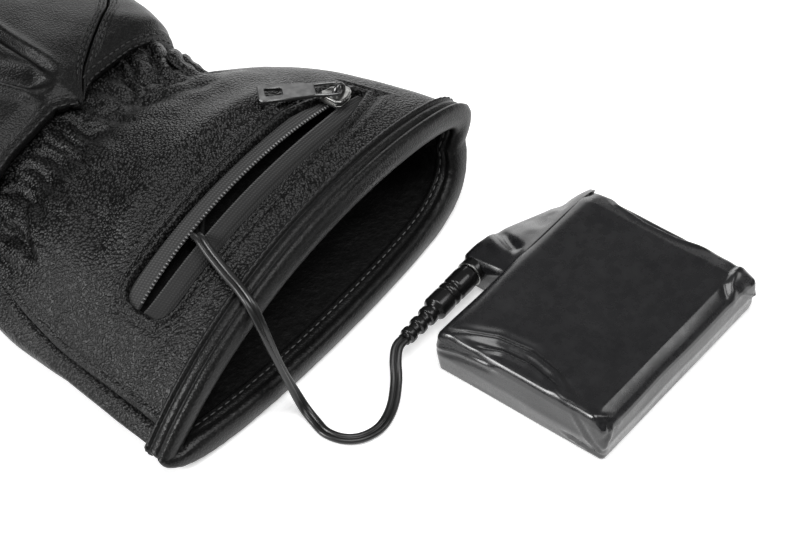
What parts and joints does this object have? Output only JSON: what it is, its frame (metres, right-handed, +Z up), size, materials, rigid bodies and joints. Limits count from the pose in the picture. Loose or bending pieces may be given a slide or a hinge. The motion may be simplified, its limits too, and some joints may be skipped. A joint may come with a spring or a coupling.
{
  "type": "heated glove",
  "caption": "Leather heated glove lying palm up, with a zipped battery pocket in its flared cuff, a battery pack and the lead between them.",
  "frame": {"origin": "on the floor under the middle of the cuff, on the flat underside of the cuff's lower leather", "axes": "+Y from the cuff's mouth to the fingers, +Z up from the floor, -X to the thumb's side"},
  "size_m": [0.1897, 0.345, 0.0456],
  "materials": {
    "leather": "fine grain, satin",
    "fleece": "brushed pile",
    "zip_tape": "woven, matte",
    "zip_teeth": "hard coil, slight sheen",
    "slider_metal": "bright metal, worn",
    "pull_metal": "matte gunmetal",
    "cable": "smooth",
    "plug": "glossy moulding",
    "socket": "glossy",
    "battery_film": "glossy shrink film"
  },
  "bodies": {
    "glove": {"cuff_palm_panel": "leather", "cuff_back_panel": "leather", "mouth_binding": "leather", "palm_panel": "leather", "heel_panel": "leather", "back_panel": "leather", "index_finger": "leather", "middle_finger": "leather", "ring_finger": "leather", "little_finger": "leather", "thumb": "leather", "cuff_lining": "fleece", "zip_tape_mouth_side": "zip_tape", "zip_tape_wrist_side": "zip_tape", "zip_teeth_mouth_side": "zip_teeth", "zip_teeth_wrist_side": "zip_teeth", "zip_slider": "slider_metal", "power_cord": "cable", "dc_plug": "plug", "battery_socket": "socket", "battery_pack": "battery_film", "socket_cover": "battery_film"},
    "pull": {"zip_pull": "pull_metal"}
  },
  "joints": [
    {"name": "pull_hinge", "type": "hinge", "parent": "glove", "child": "pull", "pos_m": [0.03966, -0.00869, 0.0431], "axis": [0.6796, 0.7193, -0.1439], "range_deg": [0, 140]}
  ]
}
